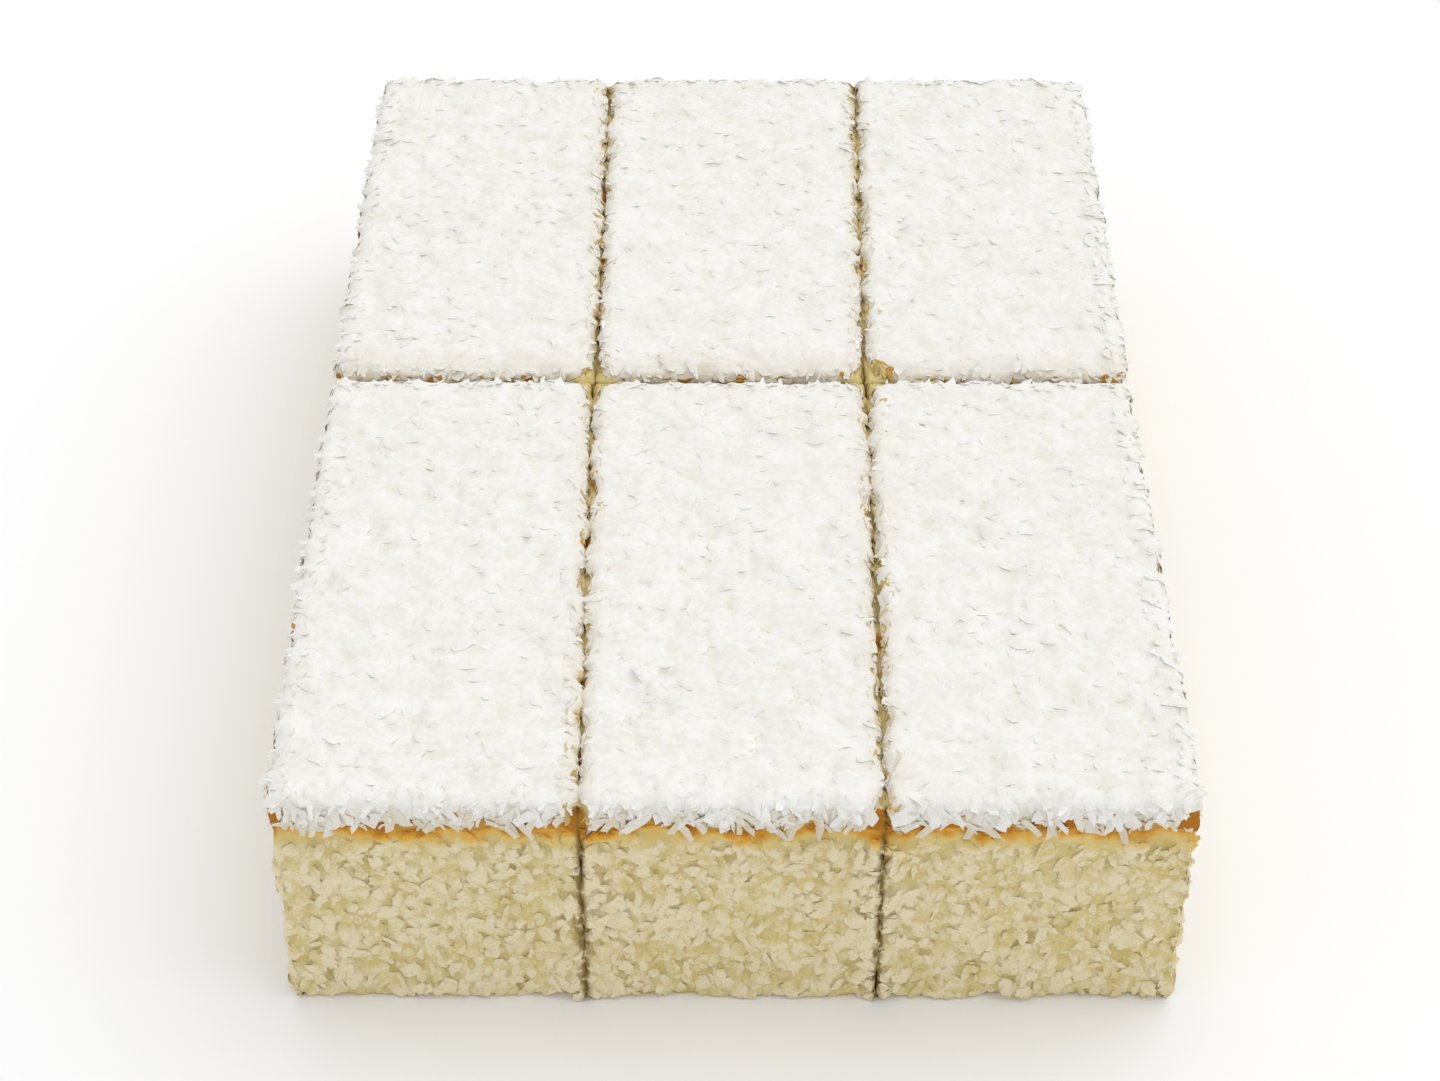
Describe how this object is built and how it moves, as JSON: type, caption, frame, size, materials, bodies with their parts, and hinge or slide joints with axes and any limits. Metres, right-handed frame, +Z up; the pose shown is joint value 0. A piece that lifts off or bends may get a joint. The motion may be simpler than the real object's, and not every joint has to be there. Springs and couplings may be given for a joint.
{
  "type": "coconut cake",
  "caption": "Tray-baked pale sponge cake cut into oblong slices that still stand together, each under white icing matted with shredded coconut over torn, crumbly sides.",
  "frame": {"origin": "centre of the cake's bounding box in plan, on the surface that it stands on", "axes": "+Z up, -Y towards the front, where the cut sides face the camera, +X to the right; the slices run along Y"},
  "size_m": [0.1586, 0.2252, 0.0503],
  "materials": {
    "sponge": "matte, crumbly",
    "coconut": "matte, shredded"
  },
  "bodies": {
    "root": {"sponge_front_left": "sponge", "sponge_front_middle": "sponge", "sponge_front_right": "sponge", "sponge_back_left": "sponge", "sponge_back_middle": "sponge", "sponge_back_right": "sponge", "topping_front_left": "coconut", "topping_front_middle": "coconut", "topping_front_right": "coconut", "topping_back_left": "coconut", "topping_back_middle": "coconut", "topping_back_right": "coconut"}
  },
  "joints": []
}
